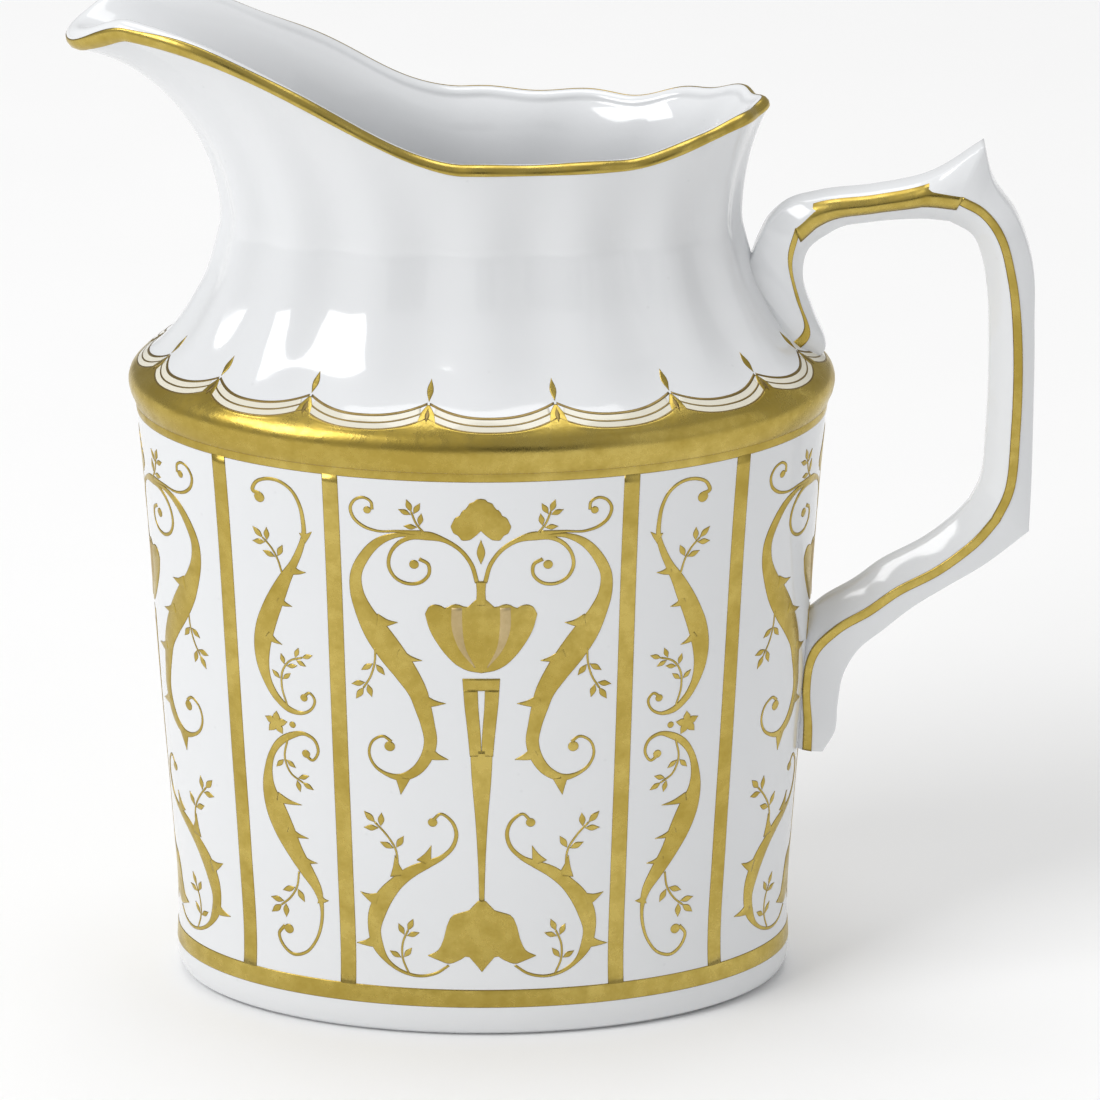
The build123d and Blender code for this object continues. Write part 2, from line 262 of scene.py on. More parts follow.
def rim_crest(x):
    """Height of the top of the rim above the point x of the jug's length."""
    rise = ease((np.maximum(-x - 2, 0) / 39) ** 0.85)
    droop = ease((-x - 40) / 8)
    handle_rise = ease((x - 16) / 17)
    return RIM_HEIGHT + SPOUT_RISE * rise - SPOUT_DROOP * droop + HANDLE_SIDE_RISE * handle_rise


def rim_wall(angle):
    """Thickness of the rim, a little more along the spout."""
    return RIM_WALL + LIP_GAIN * spout_share(angle)


def rim_frame(angle):
    """The outer edge of the rim, the way in through the wall and the way on past the edge."""
    spout = spout_share(angle)
    wave = np.cos(FLUTES * angle) * RIM_WAVE * (1 - spout)
    reach = np.where(np.cos(angle) < 0, SPOUT_REACH, RIM_HANDLE_REACH)
    out = flat_normal(angle, reach, RIM_HALF_DEPTH)
    away = stack(np.cos(angle) * reach, np.sin(angle) * RIM_HALF_DEPTH, 0.0) + out * wave[..., None]
    tilt = np.radians(78) * spout
    up = np.array([0.0, 0.0, 1.0])
    inward = -out * np.cos(tilt)[..., None] + up * np.sin(tilt)[..., None]
    onward = out * np.sin(tilt)[..., None] + up * np.cos(tilt)[..., None]
    crest = (inward + onward)[..., 2] * rim_wall(angle) / 2
    edge = stack(away[..., 0], away[..., 1], rim_crest(away[..., 0]) + wave / 2 - crest)
    return edge, inward, onward


def flare_point(angle, share, wall, lift=0.0):
    """A point of the flare between the narrow of the neck (share 0) and the rim (share 1), on the
    outside (wall 0) or the inside (wall 1), lift off the porcelain."""
    edge, inward, _ = rim_frame(angle)
    spout = spout_share(angle)
    share = np.asarray(share, float)
    neck = oval_point(angle, NECK_HALF_LENGTH - WALL * wall, NECK_HEIGHT)
    rim = edge + inward * (rim_wall(angle) * wall)[..., None]
    height = edge[..., 2] - NECK_HEIGHT
    out = (edge - neck) * np.array([1.0, 1.0, 0.0])
    up = np.array([0.0, 0.0, 1.0])
    low = neck + up * (height * (0.4 + 0.05 * spout))[..., None]
    drop = 0.25 * height * (1 - spout) + SPOUT_SAG * spout
    high = rim - out * 0.56 - up * drop[..., None]
    s, r = share[..., None], 1 - share[..., None]
    curve = neck * r**3 + low * 3 * r**2 * s + high * 3 * r * s**2 + rim * s**3
    normal = flat_normal(angle, NECK_HALF_LENGTH, RIM_HALF_DEPTH)
    ripple = flute(angle, NECK_HEIGHT) * (1 - share) ** 2 * (1 + 2 * share) * (1 - wall)
    lifted = inward * ((2 * wall - 1) * lift)
    return curve + normal * ripple[..., None] + lifted


def rim_point(angle, turn, lift=0.0):
    """A point on the rounded edge of the rim, turned from outside (0) over the crest to inside (pi)."""
    edge, inward, onward = rim_frame(angle)
    half = rim_wall(angle) / 2
    across = (half - (half + lift) * np.cos(turn))[..., None]
    above = ((half + lift) * np.sin(turn))[..., None]
    return edge + inward * across + onward * above


def smooth_line(points, per_gap):
    """Points along a smooth curve through these. Its pace comes from the first two coordinates, and the
    others, such as a width, go along."""
    points = np.asarray(points, float)
    steps = np.diff(points, axis=0)
    gaps = np.linalg.norm(steps[:, :2], axis=1)[:, None]
    rates = steps / gaps
    slopes = np.empty_like(points)
    slopes[0], slopes[-1] = rates[0], rates[-1]
    share = gaps[1:] / (gaps[:-1] + gaps[1:])
    slopes[1:-1] = rates[:-1] * share + rates[1:] * (1 - share)
    t = (np.arange(per_gap) / per_gap)[None, :, None]
    start, end, gap = points[:-1, None], points[1:, None], gaps[:, None]
    curve = start * (2 * t**3 - 3 * t**2 + 1) + end * (3 * t**2 - 2 * t**3)
    curve = curve + gap * (slopes[:-1, None] * (t**3 - 2 * t**2 + t) + slopes[1:, None] * (t**3 - t**2))
    return np.vstack([curve.reshape(-1, points.shape[1]), points[-1:]])


# Arc length round an oval of half-length 1, and the angle at each arc length
ARC_ANGLES = np.linspace(-2 * np.pi, 3 * np.pi, 20001)
ARC_PACE = np.hypot(np.sin(ARC_ANGLES), BODY_DEPTH_RATIO * np.cos(ARC_ANGLES))
ARC_STEPS = (ARC_PACE[1:] + ARC_PACE[:-1]) / 2 * np.diff(ARC_ANGLES)
ARC_LENGTHS = np.concatenate([[0.0], np.cumsum(ARC_STEPS)])


def arc_at(angle):
    """Arc length at this angle, on an oval of half-length 1."""
    return np.interp(angle, ARC_ANGLES, ARC_LENGTHS)


def panel_place(centre, flip=1, length=None):
    """The way from a panel's flat drawing to the body: millimetres right of the panel's middle, the
    height, and the lift off the glaze. flip of -1 mirrors the drawing. length stands for the body's
    half-length at every height, where it is given."""
    middle = arc_at(centre)

    def place(right, height, lift):
        half_length = length or along(OUTSIDE, height)
        angle = np.interp(middle + flip * right / half_length, ARC_LENGTHS, ARC_ANGLES)
        return body_point(angle, height, lift)

    return place


# ---------------------------------------------------------------- meshes


def make_object(name, vertices, faces, material):
    """A mesh object from points in millimetres about the body's axis."""
    points = (np.asarray(vertices, float).reshape(-1, 3) + [AXIS_X, 0, 0]) / MM
    mesh = bpy.data.meshes.new(name)
    mesh.from_pydata(points.tolist(), [], [tuple(int(i) for i in face) for face in faces])
    mesh.polygons.foreach_set("use_smooth", [True] * len(mesh.polygons))
    mesh.materials.append(material)
    mesh.validate()
    piece = bpy.data.objects.new(name, mesh)
    bpy.context.scene.collection.objects.link(piece)
    return piece


def grid_faces(rows, columns, closed_rows=False, closed_columns=False, first=0):
    """Faces of a grid of points, row by row, which may close on itself either way."""
    row_steps = rows if closed_rows else rows - 1
    column_steps = columns if closed_columns else columns - 1
    r = np.arange(row_steps)[:, None]
    c = np.arange(column_steps)[None, :]
    r2, c2 = (r + 1) % rows, (c + 1) % columns
    corners = [r * columns + c, r * columns + c2, r2 * columns + c2, r2 * columns + c]
    corners = [np.broadcast_to(corner, (row_steps, column_steps)) for corner in corners]
    return (np.stack(corners, axis=-1).reshape(-1, 4) + first)


def build_body(material):
    """The vessel: under the foot, up the outside, over the rim, down the inside and across the floor."""
    angle = np.arange(AROUND) * (2 * np.pi / AROUND)
    foot = FOOT_HALF_LENGTH - 1.5
    ring_in = foot - FOOT_RING_WIDTH
    foot_depth = BODY_DEPTH_RATIO * foot - FOOT_RING_WIDTH
    rings = []

    def under_ring(length, depth, height):
        rings.append(stack(length * np.cos(angle), depth * np.sin(angle), height))

    for share in (0.3, 0.6, 0.85, 0.97):
        under_ring(ring_in * share - 0.5, foot_depth * share - 0.5, FOOT_RECESS)
    under_ring(ring_in - 0.5, foot_depth - 0.5, FOOT_RECESS - 0.08)
    under_ring(ring_in - 0.35, foot_depth - 0.35, FOOT_RECESS * 0.5)
    under_ring(ring_in, foot_depth, 0.12)
    under_ring(ring_in + 0.25, foot_depth + 0.25, 0.0)
    under_ring(ring_in + 2.0, foot_depth + 2.0, 0.0)
    heights = np.concatenate([
        [0.0, 0.08, 0.2, 0.4, 0.6, 0.9, 1.3, 1.8, 2.4, 3.2],
        np.arange(4.0, 66.1, 1.55),
        np.arange(67.0, 78.0, 0.4),
        np.arange(78.0, NECK_HEIGHT + 0.1, 0.8),
    ])
    rings += [body_point(angle, height) for height in heights]
    rings += [flare_point(angle, share, 0) for share in np.linspace(0.04, 0.97, 26)]
    rings += [rim_point(angle, turn) for turn in np.linspace(0, np.pi, 13)]
    rings += [flare_point(angle, share, 1) for share in np.linspace(0.97, 0.04, 20)]
    near_floor = [8.0, 7.0, 6.2, 5.6, 5.1, 4.7, 4.4, FLOOR_HEIGHT]
    inner = np.concatenate([np.arange(NECK_HEIGHT, 9, -1.8), near_floor])
    rings += [oval_point(angle, along(INSIDE, height), height) for height in inner]
    floor = FOOT_HALF_LENGTH - 8.0
    for share in (0.9, 0.7, 0.45, 0.2):
        under_ring(floor * share, BODY_DEPTH_RATIO * floor * share, FLOOR_HEIGHT - 0.02)
    points = np.concatenate(rings)
    faces = grid_faces(len(rings), AROUND, closed_columns=True).tolist()
    last = len(points)
    points = np.vstack([points, [0, 0, FOOT_RECESS], [0, 0, FLOOR_HEIGHT - 0.02]])
    top = (len(rings) - 1) * AROUND
    faces += [(last, (i + 1) % AROUND, i) for i in range(AROUND)]
    faces += [(top + i, top + (i + 1) % AROUND, last + 1) for i in range(AROUND)]
    body = make_object("porcelain_body", points, faces, material)
    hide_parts("body")
    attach(body, "root")


def section_loop(points, round_off=0.3):
    """Closed sections with each corner rounded off by three points."""
    before, after = np.roll(points, 1, axis=1), np.roll(points, -1, axis=1)

    def towards(other):
        away = other - points
        return points + away / np.linalg.norm(away, axis=-1, keepdims=True) * round_off

    start, end = towards(before), towards(after)
    middle = points * 0.5 + (start + end) * 0.25
    return np.stack([start, middle, end], axis=2).reshape(len(points), -1, 3)


def limb_sections(limbs, per_gap=10):
    """Finely spaced stations along the limbs of the handle, with a crease where two limbs meet."""
    rows = [smooth_line(limb, per_gap) for limb in limbs]
    return np.vstack([row[:-1] for row in rows[:-1]] + [rows[-1]])


def across_share(sections, across):
    """A place across the limb. Where the limb is broad the ridge keeps its distance from the inner edge."""
    width = np.hypot(sections[:, 0] - sections[:, 2], sections[:, 1] - sections[:, 3])
    return across if across >= 1 else across * np.minimum(1, LIMB_WIDTH / width)


def limb_point(sections, across, out):
    """Points across the limb at this distance out from its middle plane."""
    share = across_share(sections, across)
    x = sections[:, 2] + (sections[:, 0] - sections[:, 2]) * share
    z = sections[:, 3] + (sections[:, 1] - sections[:, 3]) * share
    return stack(x, out, z)


def tucked_in(points, depth=1.2):
    """Points of the handle, kept from going deeper than this into the wall of the body."""
    wall = along(OUTSIDE, points[..., 2]) - depth
    low = points[..., 2] < NECK_HEIGHT
    points[..., 0] = np.where(low, np.maximum(points[..., 0], wall), points[..., 0])
    return points


class Skin:
    """Thin closed shapes gathered into one mesh, each point marked as a darker edge of painted shade (1) or
    middle (0).
    """

    def __init__(self):
        self.points, self.faces, self.margins, self.count = [], [], [], 0

    def add(self, sections, margins, closed=False):
        """Closed sections of points in a row, joined into a solid with ends, or into a ring."""
        rows, columns = sections.shape[:2]
        self.faces += grid_faces(rows, columns, closed, True, self.count).tolist()
        if not closed:
            last = self.count + (rows - 1) * columns
            self.faces.append(list(range(self.count, self.count + columns)))
            self.faces.append([last + i for i in reversed(range(columns))])
        self.points.append(sections.reshape(-1, 3))
        self.margins.append(np.broadcast_to(margins, (rows, columns)).reshape(-1))
        self.count += rows * columns

    def build(self, name, material, slot, *replaced):
        """The finished piece, which rides on the jug and may stand for CAD nodes."""
        piece = make_object(name, np.vstack(self.points), self.faces, material)
        mesh = bmesh.new()
        mesh.from_mesh(piece.data)
        bmesh.ops.recalc_face_normals(mesh, faces=mesh.faces)
        mesh.to_mesh(piece.data)
        mesh.free()
        mark = piece.data.attributes.new("painted_edge_shade", "FLOAT", "POINT")
        mark.data.foreach_set("value", np.concatenate(self.margins).astype(np.float32))
        if replaced:
            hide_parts(*replaced)
        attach(piece, "root")
        return piece


# Which of the seven points across a stroke belong to its darker edge, coloured as painted shade
STROKE_SHADED_EDGES = [1, 1, 0, 0, 0, 1, 1]
# How much further than drawn a tooth reaches out of its scroll
TOOTH_REACH = 1.2


def stroke(skin, place, points, per_gap=6, lift=LIFT):
    """A brush stroke through (right, height, width) points, with edges coloured darker as painted shade and
    a crowned middle.
    """
    line = smooth_line(points, per_gap)
    ahead = np.gradient(line[:, :2], axis=0)
    ahead /= np.linalg.norm(ahead, axis=1, keepdims=True)
    side = np.stack([-ahead[:, 1], ahead[:, 0]], axis=1)
    half = np.maximum(line[:, 2], 0.04) / 2
    inner = np.maximum(half - MARGIN, half * 0.4)
    columns = []
    for offset, height in [
        (-half, SET_IN), (-half, MARGIN_LIFT), (-inner, lift), (half * 0, lift * 1.2),
        (inner, lift), (half, MARGIN_LIFT), (half, SET_IN),
    ]:
        flat = line[:, :2] + side * offset[:, None]
        columns.append(place(flat[:, 0], flat[:, 1], height))
    skin.add(np.stack(columns, axis=1), STROKE_SHADED_EDGES)


def patch(skin, place, low, high, columns=41, lift=LIFT):
    """A filled shape, symmetrical about the middle, between its low and high outlines, each given as
    (distance from the middle, height) stations."""
    half = low[-1][0]
    right = half * np.sin(np.linspace(-np.pi / 2, np.pi / 2, columns))
    bottom, top = along(low, np.abs(right)), along(high, np.abs(right))
    top = np.maximum(top, bottom + 0.05)
    rim = np.minimum(MARGIN, (top - bottom) * 0.3)
    side = np.minimum(1, (half - np.abs(right)) / MARGIN)
    middle = [bottom + (top - bottom) * t for t in (0.3, 0.5, 0.7)]
    levels = [bottom, bottom + rim] + middle + [top - rim, top]
    lifts = [0, 1, 1, 1, 1, 1, 0]
    upper = [
        place(right, level, MARGIN_LIFT + (lift - MARGIN_LIFT) * rise * side)
        for level, rise in zip(levels, lifts)
    ]
    lower = [place(right, level, np.full_like(right, SET_IN)) for level in reversed(levels)]
    # The outline of the shape is coloured darker all round, as painted shade.
    margins = np.ones((columns, 14))
    margins[:, 1:6] = 1 - side[:, None]
    skin.add(np.stack(upper + lower, axis=1), margins)


def leaf(skin, place, start, end, width):
    """A pointed leaf from its stalk to its tip."""
    start, end = np.array(start, float), np.array(end, float)
    middle = start + (end - start) * 0.45
    stroke(skin, place, [(*start, 0.06), (*middle, width), (*end, 0.04)], per_gap=5)


def dot(skin, place, right, height, radius):
    """A round blob of gold."""
    across = radius * np.cos(np.linspace(np.pi - 0.2, 0.2, 9))
    widths = 2 * np.sqrt(radius**2 - across**2)
    stroke(skin, place, [(right + a, height, w) for a, w in zip(across, widths)], per_gap=1)


def tooth(skin, place, base, tip, width=1.9):
    """A spiky point on the edge of a scroll, flat below and hollow above."""
    base, tip = np.array(base, float), np.array(tip, float)
    tip = base + (tip - base) * TOOTH_REACH
    middle = (base + tip) / 2 + [0, -0.12]
    stroke(skin, place, [(*base, width), (*middle, width * 0.45), (*tip, 0.05)], per_gap=4)


def spray(skin, place, stem, pairs=2, size=1.7):
    """A thin curved stem with pairs of small leaves and one at its tip."""
    stroke(skin, place, [(*point, 0.24) for point in stem])
    line = smooth_line(stem, 10)
    ahead = line[-1] - line[-4]
    ahead /= np.linalg.norm(ahead)
    leaf(skin, place, line[-1], line[-1] + ahead * size, size * 0.44)
    for i in range(pairs):
        at = int((0.35 + 0.5 * i / max(pairs - 1, 1)) * (len(line) - 1))
        along_stem = line[min(at + 2, len(line) - 1)] - line[at - 2]
        heading = math.atan2(along_stem[1], along_stem[0])
        for side in (-1, 1):
            turn = heading + side * math.radians(48)
            start = line[at] + 0.25 * np.array([math.cos(turn), math.sin(turn)])
            tip = start + size * 0.95 * np.array([math.cos(turn), math.sin(turn)])
            leaf(skin, place, start, tip, size * 0.42)


# ---------------------------------------------------------------- the painted scrollwork
# Drawings are in millimetres: right of the panel's middle, height above the foot, and stroke width.

ACANTHUS = [
    (7.3, 62.5, 0.35), (9.6, 62.4, 0.6), (11.6, 61.5, 1.0), (13.4, 59.4, 1.25), (14.3, 57.2, 1.35),
    (14.2, 55.0, 1.6), (13.4, 52.8, 2.1), (12.1, 50.5, 2.9), (10.4, 48.0, 3.1), (8.5, 45.3, 2.7),
    (7.2, 43.0, 2.2), (6.6, 41.0, 1.9), (6.1, 39.0, 1.6), (5.8, 37.0, 1.5), (6.3, 34.9, 1.4),
    (7.6, 33.1, 1.2), (9.2, 32.3, 0.9), (10.9, 32.6, 0.5), (12.3, 33.6, 0.36), (12.9, 35.2, 0.32),
    (12.4, 36.7, 0.32), (11.2, 37.3, 0.34), (10.3, 36.7, 0.4),
]
ACANTHUS_TEETH = [
    ((11.9, 51.6), (9.9, 51.6)), ((9.6, 47.6), (7.2, 47.1)), ((6.8, 42.0), (4.5, 41.8)),
    ((6.3, 35.6), (4.2, 34.9)), ((9.0, 32.4), (9.2, 30.5)),
]
VINE = [
    (0.45, 56.8, 0.5), (1.1, 59.1, 0.5), (2.3, 60.8, 0.5), (4.1, 62.0, 0.6), (6.2, 62.5, 1.1),
    (8.0, 62.2, 0.6), (9.4, 61.4, 0.5), (10.3, 60.1, 0.42), (10.5, 58.6, 0.42), (9.8, 57.2, 0.4),
    (8.4, 56.5, 0.42), (6.9, 56.7, 0.42), (5.9, 57.8, 0.4), (6.0, 59.0, 0.42), (7.0, 59.6, 0.45),
]
TOP_CURL = [
    (6.8, 62.8, 0.7), (9.4, 62.9, 0.34), (11.9, 62.8, 0.32), (13.5, 63.3, 0.4), (14.6, 64.3, 0.4),
    (14.9, 65.5, 0.38), (14.3, 66.5, 0.36), (13.3, 66.8, 0.34), (12.5, 66.3, 0.34), (12.4, 65.4, 0.4),
]
LOWER_SCROLL = [
    (5.6, 27.0, 0.4), (4.7, 27.9, 0.34), (3.5, 27.1, 0.4), (2.9, 25.6, 0.45), (3.3, 23.8, 0.5),
    (4.6, 22.4, 0.6), (6.2, 21.5, 1.0), (8.0, 20.5, 1.4), (9.7, 19.0, 1.6), (11.1, 17.2, 2.0),
    (12.1, 14.9, 2.0), (12.4, 12.8, 1.5), (12.0, 10.8, 1.3), (10.9, 9.0, 0.6), (9.2, 7.8, 0.42),
    (7.2, 7.35, 0.36), (5.2, 7.8, 0.34), (3.8, 8.8, 0.3),
]
LOWER_TEETH = [
    ((6.6, 21.6), (5.9, 23.5)), ((9.6, 19.8), (9.9, 22.0)), ((12.0, 16.6), (13.7, 17.3)),
    ((12.0, 11.4), (14.1, 11.0)),
]
BOWL_LOW = [(0, 45.6), (1.4, 45.85), (2.7, 46.5), (4.0, 47.8), (5.1, 49.4), (5.9, 51.0), (6.35, 52.7)]
BOWL_HIGH = [
    (0, 54.9), (0.7, 54.7), (1.3, 53.9), (1.7, 53.75), (2.2, 54.0), (2.9, 54.15), (3.5, 53.95),
    (4.0, 53.6), (4.5, 53.9), (5.2, 54.05), (5.9, 53.75), (6.35, 52.9),
]
TULIP_LOW = [(0, 8.0), (0.9, 9.2), (1.7, 10.0), (2.5, 9.5), (3.8, 9.0), (5.0, 9.4), (6.2, 9.9)]
TULIP_HIGH = [
    (0, 17.2), (0.7, 16.8), (1.3, 15.9), (2.4, 15.5), (3.4, 15.1), (4.0, 13.8), (4.5, 11.7),
    (5.1, 10.6), (6.2, 9.98),
]
CLOUD_LOW = [(0, 63.2), (0.6, 62.6), (1.4, 62.05), (2.1, 62.0), (2.6, 62.6), (3.1, 62.9), (3.4, 63.6)]
CLOUD_HIGH = [
    (0, 67.2), (0.5, 67.1), (0.8, 66.8), (1.3, 66.6), (1.7, 65.9), (2.1, 65.7), (2.4, 65.1),
    (2.9, 64.8), (3.4, 63.8),
]
OBELISK = [
    (0, 44.9, 4.3), (0, 41.8, 3.9), (0, 38.0, 3.1), (0, 33.0, 2.3), (0, 27.0, 1.4), (0, 21.0, 0.8),
    (0, 16.9, 0.6),
]
# Dots of a wide panel, as distance from its middle, height and radius
WIDE_DOTS = [(7.6, 58.9, 0.55), (12.95, 65.3, 0.45), (10.5, 36.1, 0.62), (5.6, 26.8, 0.55)]
SLIT_TOP, SLIT_BOTTOM, SLIT_WIDTH = 43.4, 35.4, 0.8


def obelisk_rails(side):
    """One side of the tapering stem beside its slit, as a stroke."""
    _, heights, widths = zip(*reversed(OBELISK))
    rail = []
    for height in np.linspace(SLIT_TOP + 0.1, SLIT_BOTTOM - 0.2, 5):
        width = np.interp(height, heights, widths)
        slit = SLIT_WIDTH * ease((height - SLIT_BOTTOM) / (SLIT_TOP - SLIT_BOTTOM))
        rail.append((side * (width + slit) / 4, height, (width - slit) / 2))
    return rail


def wide_motif(skin, place):
    """The vase, stem and pairs of scrolls of a wide panel."""
    patch(skin, place, CLOUD_LOW, CLOUD_HIGH)
    leaf(skin, place, (0, 59.1), (0, 62.1), 0.95)
    stroke(skin, place, [(0, 54.0, 1.2), (0, 55.6, 1.0), (0, 57.0, 1.15)])
    patch(skin, place, BOWL_LOW, BOWL_HIGH)
    stroke(skin, place, [(0, 44.9, 4.3), (0, SLIT_TOP, 4.1)])
    stroke(skin, place, [(0, SLIT_BOTTOM + 0.5, 2.55), *OBELISK[3:]])
    patch(skin, place, TULIP_LOW, TULIP_HIGH)
    for side in (-1, 1):
        def half(right, height, lift, side=side):
            return place(side * right, height, lift)

        stroke(skin, place, obelisk_rails(side))
        for line in (ACANTHUS, VINE, TOP_CURL, LOWER_SCROLL):
            stroke(skin, half, line)
        for base, tip in ACANTHUS_TEETH + LOWER_TEETH:
            tooth(skin, half, base, tip)
        for right, height, radius in WIDE_DOTS:
            dot(skin, half, right, height, radius)
        spray(skin, half, [(6.2, 62.6), (7.3, 63.9), (7.9, 65.4)], pairs=2, size=1.6)
        spray(skin, half, [(12.1, 48.3), (12.2, 46.4), (12.7, 44.6), (13.5, 43.2)], pairs=2)
        spray(skin, half, [(9.6, 20.6), (9.9, 23.2), (11.0, 25.0), (12.3, 26.4)], pairs=2, size=1.8)
        spray(skin, half, [(8.4, 7.6), (9.1, 9.4), (9.1, 11.4), (8.5, 13.0)], pairs=2, size=1.6)


NARROW_UPPER = [
    (1.7, 65.6, 0.5), (2.6, 65.9, 0.5), (2.2, 66.9, 0.42), (0.9, 67.6, 0.42), (-0.8, 67.6, 0.42),
    (-2.3, 66.7, 0.42), (-3.2, 65.0, 0.45), (-3.5, 63.2, 0.5), (-3.5, 61.3, 0.6), (-2.9, 59.4, 0.8),
    (-2.0, 57.5, 1.0), (-0.9, 55.6, 1.5), (0.1, 53.6, 2.0), (1.2, 51.2, 2.3), (2.0, 49.0, 2.4),
    (2.5, 46.6, 2.1), (2.5, 44.4, 1.6), (2.0, 42.4, 1.1), (0.8, 40.4, 0.9), (-0.8, 39.2, 0.75),
    (-2.4, 39.1, 0.4), (-3.5, 39.9, 0.32), (-3.8, 41.0, 0.32), (-3.2, 41.7, 0.32), (-2.5, 41.2, 0.4),
]
NARROW_LOWER = [
    (-2.4, 33.8, 0.45), (-3.1, 33.3, 0.34), (-3.9, 34.4, 0.34), (-3.5, 35.9, 0.4), (-2.2, 36.5, 0.5),
    (-0.8, 36.1, 0.8), (0.7, 35.1, 0.9), (1.9, 33.4, 0.8), (2.5, 31.4, 1.0), (2.6, 29.1, 1.6),
    (1.9, 26.6, 2.6), (0.9, 24.0, 2.7), (-0.4, 21.3, 2.1), (-1.8, 19.0, 1.7), (-2.9, 17.0, 1.1),
    (-3.3, 15.0, 0.5), (-3.1, 12.5, 0.38), (-2.3, 10.3, 0.34), (-1.1, 8.8, 0.36), (0.5, 8.3, 0.4),
    (1.8, 9.2, 0.4), (2.3, 10.6, 0.38), (1.5, 11.7, 0.45),
]
NARROW_TEETH = [
    ((-3.3, 60.9), (-4.3, 61.7)), ((-1.7, 56.8), (-3.2, 56.7)), ((0.2, 52.8), (-1.3, 52.3)),
    ((1.8, 48.2), (0.2, 47.4)), ((1.6, 27.9), (-1.0, 27.5)), ((0.5, 23.9), (-1.7, 23.4)),
    ((-0.9, 20.7), (-2.7, 20.4)), ((-3.0, 15.9), (-4.0, 15.8)),
]

NARROW_DOTS = [
    (1.8, 65.2, 0.65), (-2.5, 41.0, 0.45), (-0.9, 37.4, 0.4), (-2.4, 34.0, 0.5), (1.0, 11.4, 0.6),
    (1.2, 37.3, 0.75),
]


def narrow_motif(skin, place):
    """The two long scrolls of a narrow panel, with a small star-flower between them."""
    for line in (NARROW_UPPER, NARROW_LOWER):
        stroke(skin, place, line)
    for base, tip in NARROW_TEETH:
        tooth(skin, place, base, tip, 1.4)
    for right, height, radius in NARROW_DOTS:
        dot(skin, place, right, height, radius)
    for petal in range(5):
        turn = 2 * math.pi * petal / 5 + 0.4
        tip = (1.2 + 1.5 * math.cos(turn), 37.3 + 1.5 * math.sin(turn))
        leaf(skin, place, (1.2, 37.3), tip, 0.95)
    spray(skin, place, [(-0.6, 55.9), (0.0, 58.0), (0.7, 59.2), (1.7, 60.2)], pairs=2, size=1.7)
    stem = [(-0.4, 39.6), (0.2, 42.0), (0.0, 44.0), (-1.0, 45.4), (-2.5, 46.0)]
    spray(skin, place, stem, pairs=3, size=1.4)
    spray(skin, place, [(-0.2, 35.6), (0.3, 33.0), (-0.4, 31.2), (-1.8, 30.3)], pairs=2, size=1.5)
    spray(skin, place, [(-0.7, 18.9), (-0.3, 16.9), (0.7, 15.3), (1.8, 14.3)], pairs=2, size=1.8)


# One stripe of a bowl, as distance from the middle, height and width
BOWL_STRIPE = [(2.75, 53.7, 1.3), (2.7, 51.0, 1.3), (2.1, 48.6, 0.8), (0.7, 46.3, 0.2)]


def bar_angle(across, side):
    """The angle of an upright bar, from its place along the length and its side (-1 front, 1 back)."""
    return side * math.acos(across)


def build_panels(gold, dull):
    """The scrollwork of the eight panels, and the brushed stripes on the bowls of the wide ones."""
    stripes = Skin()
    for name, centre in [("front", -np.pi / 2), ("handle", 0.0), ("back", np.pi / 2), ("spout", np.pi)]:
        skin, place = Skin(), panel_place(centre)
        wide_motif(skin, place)
        skin.build(f"scrollwork_{name}", gold, "gold")
        for side in (-1, 1):
            line = [(side * right, height, width) for right, height, width in BOWL_STRIPE]
            stroke(stripes, place, line, lift=LIFT * 1.6)
    stripes.build("bowl_stripes", dull, "gold")
    for side, face in [(-1, "front"), (1, "back")]:
        for flip, letter in [(-1, "a"), (1, "b")]:
            ends = [arc_at(bar_angle(-flip * across, side)) for across in BAR_PLACES[:2]]
            centre = np.interp(sum(ends) / 2, ARC_LENGTHS, ARC_ANGLES)
            skin = Skin()
            narrow_motif(skin, panel_place(centre, flip * (1 if side < 0 else -1)))
            skin.build(f"scrollwork_narrow_{face}_{letter}", gold, "gold")


def build_bars(gold):
    """The eight upright bars between the panels, in the CAD model's order."""
    places = [(across, side) for side in (-1, 1) for across in BAR_PLACES]
    for number, (across, side) in enumerate(places, 1):
        skin = Skin()
        low, high = FOOT_BAND[1] - 0.1, SHOULDER_BAND[0] + 0.1
        line = [(0, height, BAR_WIDTH) for height in np.linspace(low, high, 24)]
        stroke(skin, panel_place(bar_angle(across, side)), line, per_gap=2)
        skin.build(f"bar_{number}", gold, "gold", f"panel_bar_{number}")


def ring_band(skin, angles, levels, lifts, margins):
    """A gold band right round the body, from heights at each angle and the lift of each row."""
    rows = [body_point(angles, level, lift) for level, lift in zip(levels, lifts)]
    base = [body_point(angles, level, SET_IN) for level in reversed(levels)]
    skin.add(np.stack(rows + base, axis=1), margins + [1] * len(base), closed=True)


def build_foot_band(gold):
    """The plain gold band above the foot."""
    low, high = FOOT_BAND
    angles = np.arange(AROUND) * (2 * np.pi / AROUND)
    levels = [low, low + 0.12, (low + high) / 2, high - 0.12, high]
    skin = Skin()
    lifts = [MARGIN_LIFT, LIFT, LIFT, LIFT, MARGIN_LIFT]
    ring_band(skin, angles, [np.full(AROUND, z) for z in levels], lifts, [1, 0, 0, 0, 1])
    skin.build("foot_band", gold, "gold", "foot_gilding")


# Heights of the shoulder's work at the middle of each swag and at the points between them
SWAG_GOLD, SWAG_LINE, SWAG_TOP, SWAG_POINT = 74.9, 75.5, 76.1, 77.2
POINT_SHARE = 0.88
SWAG_STEP = 2 * math.pi / FLUTES
SWAG_TURN = 0.035
# The half-length of the body at the swags
SWAG_LENGTH = 38.0


def swag_share(angle):
    """0 at the middle of each swag and 1 at the points between them."""
    step = (angle - SWAG_TURN) / SWAG_STEP
    return 2 * np.abs(step - np.round(step))


def swag_height(middle, share):
    """The height of one line of the swags."""
    return middle + (SWAG_POINT - SWAG_TOP) * share**2.4


